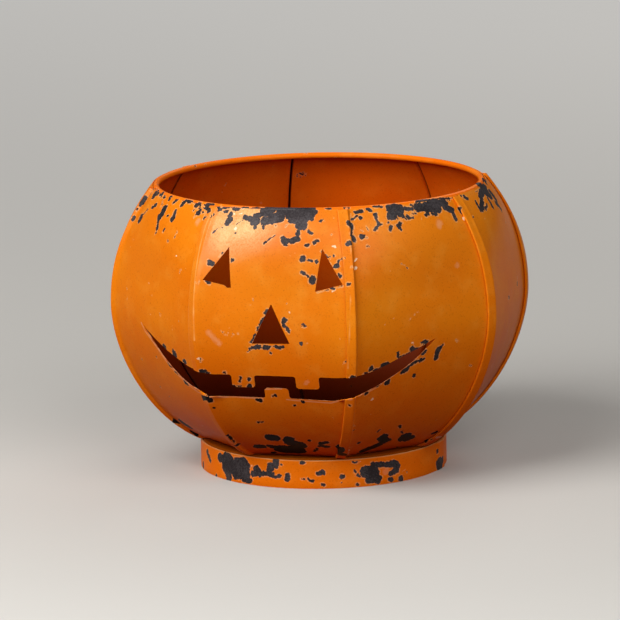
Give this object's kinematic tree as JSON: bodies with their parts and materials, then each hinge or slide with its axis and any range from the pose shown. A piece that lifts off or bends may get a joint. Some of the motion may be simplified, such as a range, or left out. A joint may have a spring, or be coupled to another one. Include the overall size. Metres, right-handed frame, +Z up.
{
  "type": "sheet-metal jack-o-lantern bowl",
  "caption": "Round open bowl of curved painted metal gores joined by folded lock seams, with a carved jack-o-lantern face, a wired rim and a strap ring foot.",
  "frame": {"origin": "under the middle of the foot ring, on the surface that the bowl stands on", "axes": "+Z up through the open rim, -Y the way the face looks, +X to the right as seen from the front"},
  "size_m": [0.2222, 0.2222, 0.1632],
  "materials": {
    "gore_paint": "satin orange paint, chipped and rubbed to dark metal along the cut edges and seams",
    "rim_paint": "glossy orange paint on round wire, worn along the top",
    "pan_paint": "dull rubbed orange paint",
    "foot_paint": "satin orange paint, heavily chipped"
  },
  "bodies": {
    "root": {"face_panel_upper": "gore_paint", "face_panel_lower": "gore_paint", "right_cheek_panel": "gore_paint", "right_side_panel": "gore_paint", "back_right_panel": "gore_paint", "back_panel": "gore_paint", "back_left_panel": "gore_paint", "left_side_panel": "gore_paint", "left_cheek_panel": "gore_paint", "rim_wire": "rim_paint", "base_pan": "pan_paint", "foot_ring": "foot_paint"}
  },
  "joints": []
}
